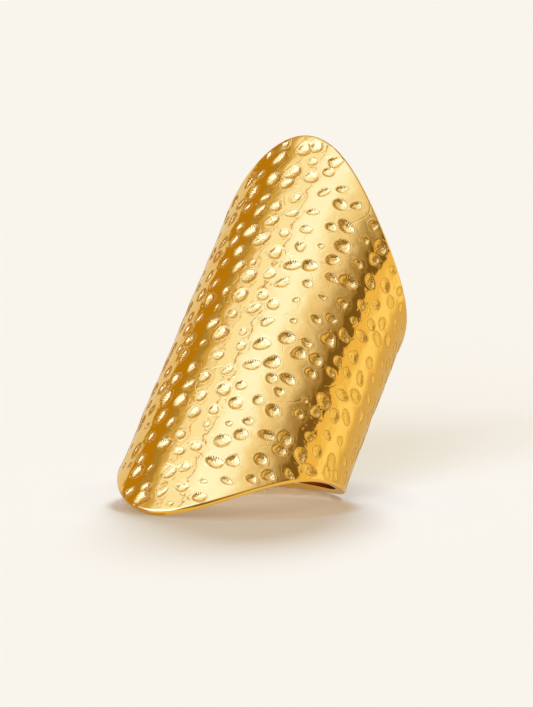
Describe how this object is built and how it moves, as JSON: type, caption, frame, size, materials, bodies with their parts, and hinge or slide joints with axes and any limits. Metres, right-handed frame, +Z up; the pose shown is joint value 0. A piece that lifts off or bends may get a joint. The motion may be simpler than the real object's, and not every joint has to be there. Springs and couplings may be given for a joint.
{
  "type": "shield ring",
  "caption": "Hammered finger ring with a long curved shield over the finger that narrows to a plain band at the back.",
  "frame": {"origin": "middle of the ring's footprint box, on the surface that the ring rests on", "axes": "+Z up, -Y towards the front of the shield, +X across the ring; the finger axis lies in the YZ plane and leans back 37.7 degrees from +Z towards +Y"},
  "size_m": [0.0188, 0.0304, 0.0316],
  "materials": {
    "gold": "gold plated, polished, with fine-grained hammer marks"
  },
  "bodies": {
    "root": {"ring": "gold"}
  },
  "joints": []
}
